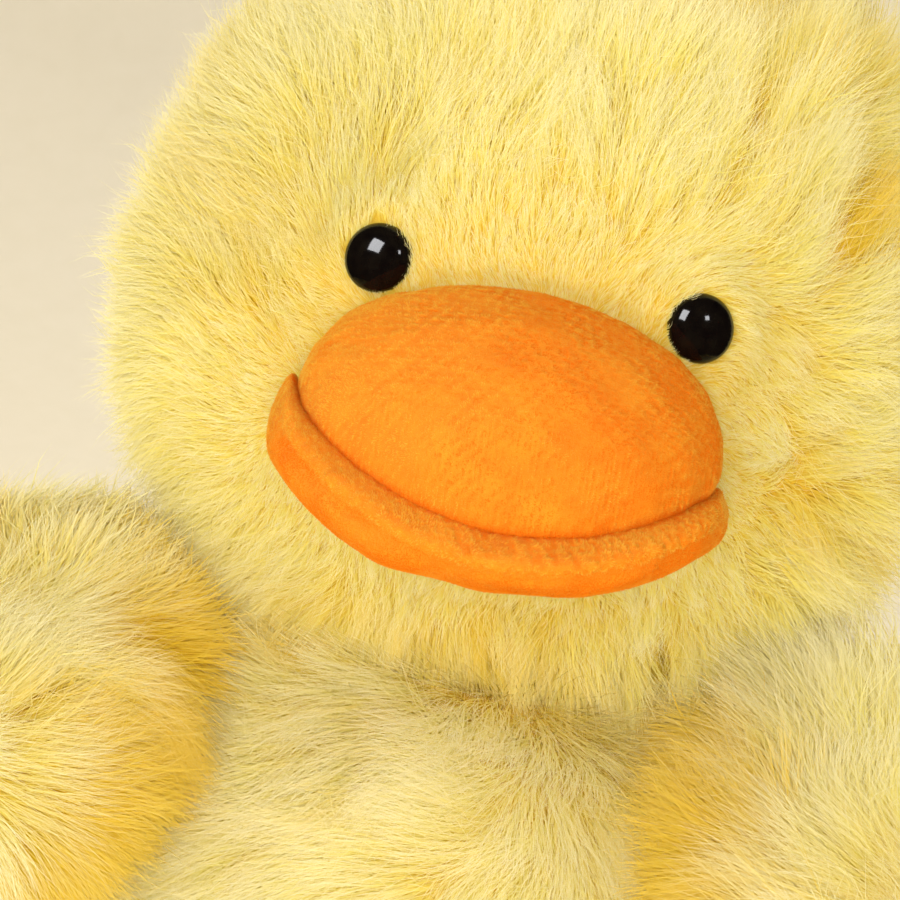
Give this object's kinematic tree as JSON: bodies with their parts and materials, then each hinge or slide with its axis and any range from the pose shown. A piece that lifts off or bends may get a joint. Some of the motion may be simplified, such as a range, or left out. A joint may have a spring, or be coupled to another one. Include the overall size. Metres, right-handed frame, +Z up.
{
  "type": "plush duck",
  "caption": "Sitting plush duck in long-pile yellow fabric with a padded orange bill, domed black eyes, soft wings and webbed feet.",
  "frame": {"origin": "middle of the flat seat, on the surface that the duck sits on", "axes": "+Z up, the duck looks along -Y, its own left is +X"},
  "size_m": [0.2224, 0.2422, 0.314],
  "materials": {
    "yellow_fur": "matte",
    "orange_cloth": "matte",
    "fibre_filling": "matte",
    "pellet_bag": "matte",
    "black_eye": "gloss",
    "washer_plastic": "matte"
  },
  "bodies": {
    "body": {"body_cover": "yellow_fur", "body_filling": "fibre_filling", "pellet_bag": "pellet_bag", "tail_cover": "yellow_fur", "tail_filling": "fibre_filling"},
    "neck": {"neck_filling": "fibre_filling"},
    "head": {"head_cover": "yellow_fur", "head_filling": "fibre_filling", "upper_bill_cover": "orange_cloth", "upper_bill_filling": "fibre_filling", "eye_left": "black_eye", "eye_right": "black_eye", "eye_washer_left": "washer_plastic", "eye_washer_right": "washer_plastic"},
    "lower_bill": {"lower_bill_cover": "orange_cloth", "lower_bill_filling": "fibre_filling"},
    "wing_left": {"wing_left_cover": "yellow_fur", "wing_left_filling": "fibre_filling"},
    "wing_right": {"wing_right_cover": "yellow_fur", "wing_right_filling": "fibre_filling"},
    "foot_left": {"foot_left_cover": "orange_cloth", "foot_left_filling": "fibre_filling"},
    "foot_right": {"foot_right_cover": "orange_cloth", "foot_right_filling": "fibre_filling"}
  },
  "joints": [
    {"name": "head_turn", "type": "hinge", "parent": "body", "child": "neck", "pos_m": [0, 0, 0.147], "axis": [0, 0, 1], "range_deg": [-25, 25], "stiffness_Nm_per_rad": 0.3},
    {"name": "head_nod", "type": "hinge", "parent": "neck", "child": "head", "pos_m": [0, 0, 0.147], "axis": [1, 0, 0], "range_deg": [-8, 8], "stiffness_Nm_per_rad": 1.5},
    {"name": "lower_bill_open", "type": "hinge", "parent": "head", "child": "lower_bill", "pos_m": [0, -0.048, 0.1904], "axis": [1, 0, 0], "range_deg": [0, 12], "stiffness_Nm_per_rad": 0.08},
    {"name": "wing_spread_left", "type": "hinge", "parent": "body", "child": "wing_left", "pos_m": [0.059, 0.011, 0.146], "axis": [0, 0, 1], "range_deg": [0, 50], "stiffness_Nm_per_rad": 0.03},
    {"name": "wing_spread_right", "type": "hinge", "parent": "body", "child": "wing_right", "pos_m": [-0.059, 0.011, 0.146], "axis": [0, 0, -1], "range_deg": [0, 50], "stiffness_Nm_per_rad": 0.03},
    {"name": "foot_flex_left", "type": "hinge", "parent": "body", "child": "foot_left", "pos_m": [0.03419, -0.07011, 0.024], "axis": [-0.8988, -0.4384, 0], "range_deg": [0, 30], "stiffness_Nm_per_rad": 0.05},
    {"name": "foot_flex_right", "type": "hinge", "parent": "body", "child": "foot_right", "pos_m": [-0.03419, -0.07011, 0.024], "axis": [-0.8988, 0.4384, 0], "range_deg": [0, 30], "stiffness_Nm_per_rad": 0.05}
  ]
}
